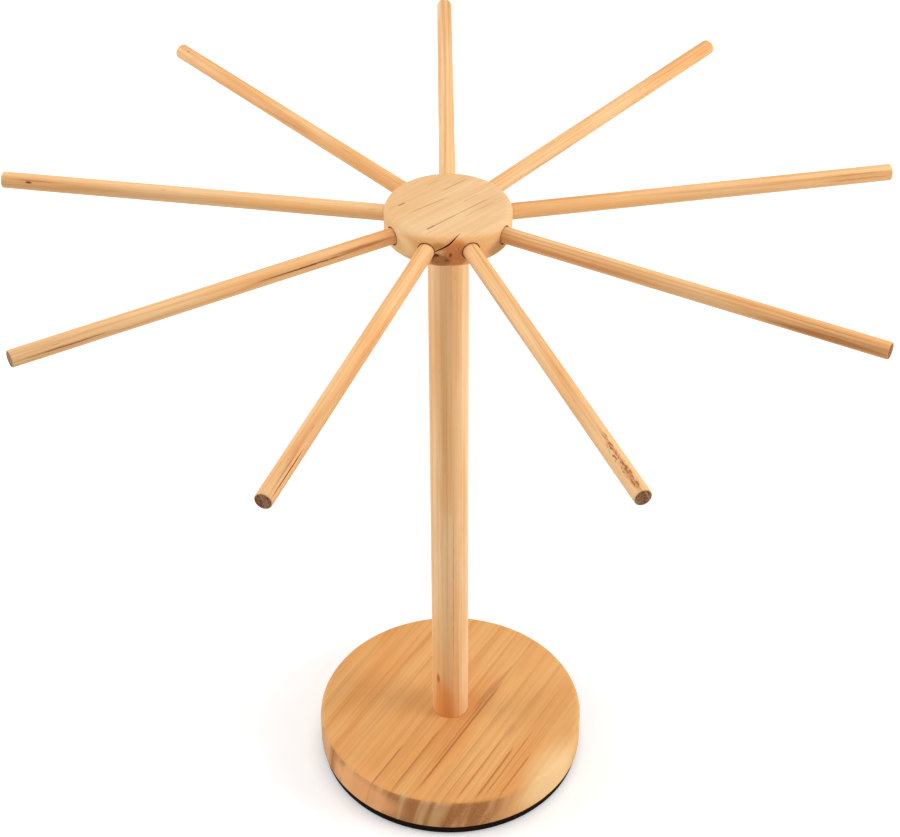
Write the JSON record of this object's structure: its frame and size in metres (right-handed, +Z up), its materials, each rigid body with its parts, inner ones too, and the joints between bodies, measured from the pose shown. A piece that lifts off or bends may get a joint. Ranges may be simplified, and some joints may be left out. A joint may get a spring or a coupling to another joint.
{
  "type": "pasta drying rack",
  "caption": "Free-standing wooden rack: a thick round base and a post carry a turning hub, with plug-in round rods that fresh pasta hangs over to dry",
  "frame": {"origin": "middle of the face that the rack stands on, on the axis of the post", "axes": "+Z up along the post; +Y along rod_1, away from the viewer of the picture; +X to the viewer's right"},
  "size_m": [0.543, 0.5347, 0.452],
  "materials": {
    "base_wood": "sanded softwood, satin",
    "post_wood": "sanded softwood dowel, satin",
    "hub_wood": "sanded softwood, satin",
    "rod_wood": "sanded softwood dowel, satin",
    "pad_rubber": "matt foam rubber",
    "bolt_steel": "zinc plated",
    "insert_brass": "plain",
    "glide_plastic": "natural nylon"
  },
  "bodies": {
    "stand": {"base_disc": "base_wood", "anti_slip_pad": "pad_rubber", "base_bolt": "bolt_steel", "base_bolt_washer": "bolt_steel", "post_insert": "insert_brass", "post": "post_wood"},
    "glide_washer": {"glide_washer": "glide_plastic"},
    "hub": {"hub": "hub_wood"},
    "rod_1": {"rod_1": "rod_wood"},
    "rod_2": {"rod_2": "rod_wood"},
    "rod_3": {"rod_3": "rod_wood"},
    "rod_4": {"rod_4": "rod_wood"},
    "rod_5": {"rod_5": "rod_wood"},
    "rod_6": {"rod_6": "rod_wood"},
    "rod_7": {"rod_7": "rod_wood"},
    "rod_8": {"rod_8": "rod_wood"},
    "rod_9": {"rod_9": "rod_wood"}
  },
  "joints": [
    {"name": "hub_turn", "type": "hinge", "parent": "stand", "child": "glide_washer", "pos_m": [0, 0, 0.445], "axis": [0, 0, 1], "continuous": true},
    {"name": "hub_lift", "type": "slide", "parent": "glide_washer", "child": "hub", "axis": [0, 0, 1], "range_m": [0, 0.015]},
    {"name": "rod_1_pull", "type": "slide", "parent": "hub", "child": "rod_1", "axis": [0, 1, 0], "range_m": [0, 0.024]},
    {"name": "rod_2_pull", "type": "slide", "parent": "hub", "child": "rod_2", "axis": [-0.6428, 0.766, 0], "range_m": [0, 0.024]},
    {"name": "rod_3_pull", "type": "slide", "parent": "hub", "child": "rod_3", "axis": [-0.9848, 0.1736, 0], "range_m": [0, 0.024]},
    {"name": "rod_4_pull", "type": "slide", "parent": "hub", "child": "rod_4", "axis": [-0.866, -0.5, 0], "range_m": [0, 0.024]},
    {"name": "rod_5_pull", "type": "slide", "parent": "hub", "child": "rod_5", "axis": [-0.342, -0.9397, 0], "range_m": [0, 0.024]},
    {"name": "rod_6_pull", "type": "slide", "parent": "hub", "child": "rod_6", "axis": [0.342, -0.9397, 0], "range_m": [0, 0.024]},
    {"name": "rod_7_pull", "type": "slide", "parent": "hub", "child": "rod_7", "axis": [0.866, -0.5, 0], "range_m": [0, 0.024]},
    {"name": "rod_8_pull", "type": "slide", "parent": "hub", "child": "rod_8", "axis": [0.9848, 0.1736, 0], "range_m": [0, 0.024]},
    {"name": "rod_9_pull", "type": "slide", "parent": "hub", "child": "rod_9", "axis": [0.6428, 0.766, 0], "range_m": [0, 0.024]}
  ]
}
